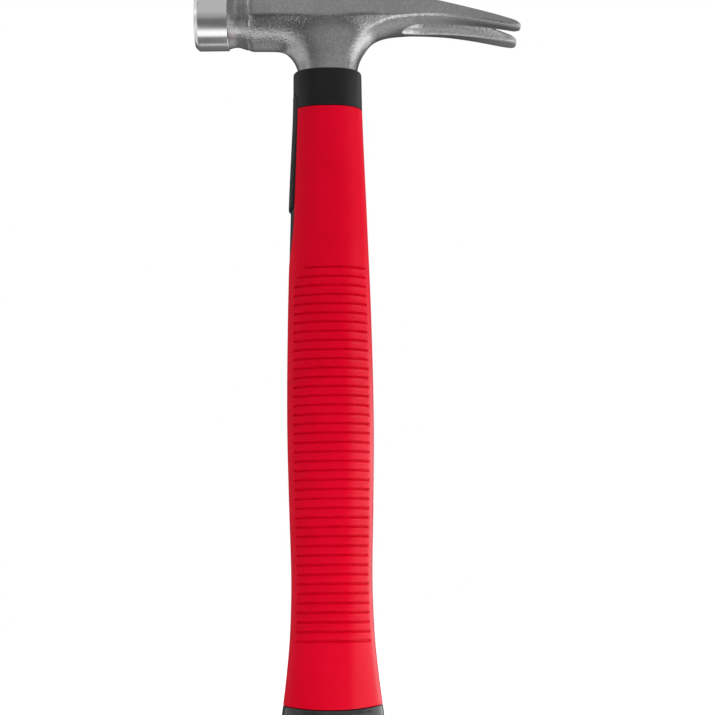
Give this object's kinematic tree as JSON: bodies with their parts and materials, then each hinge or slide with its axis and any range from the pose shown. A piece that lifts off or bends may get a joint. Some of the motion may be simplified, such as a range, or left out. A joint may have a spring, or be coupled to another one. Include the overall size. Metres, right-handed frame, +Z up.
{
  "type": "electrician hammer",
  "caption": "Claw hammer for electrical work: forged steel head with a long neck and a straight split claw, on a glass-fibre handle with a ribbed red soft sleeve and black collar and butt.",
  "frame": {"origin": "middle of the flat butt, on the handle's axis", "axes": "+Z up the handle to the head, -X to the striking face, +X to the claw, Y across the flat sides"},
  "size_m": [0.1407, 0.0338, 0.3303],
  "materials": {
    "forged_steel": "shot-blasted forging with a polished striking end",
    "glass_fibre": "pultruded bar",
    "cast_resin": "poured",
    "seal_rubber": "matte",
    "black_plastic": "satin moulding",
    "soft_black": "matte",
    "red_soft_plastic": "satin soft moulding",
    "gloss_black": "glossy moulding"
  },
  "bodies": {
    "root": {"hammer_head": "forged_steel", "handle_core": "glass_fibre", "eye_resin": "cast_resin", "socket_seal": "seal_rubber", "handle_jacket": "black_plastic", "overstrike_pad": "soft_black", "grip_sleeve": "red_soft_plastic", "butt_cap": "gloss_black"}
  },
  "joints": []
}
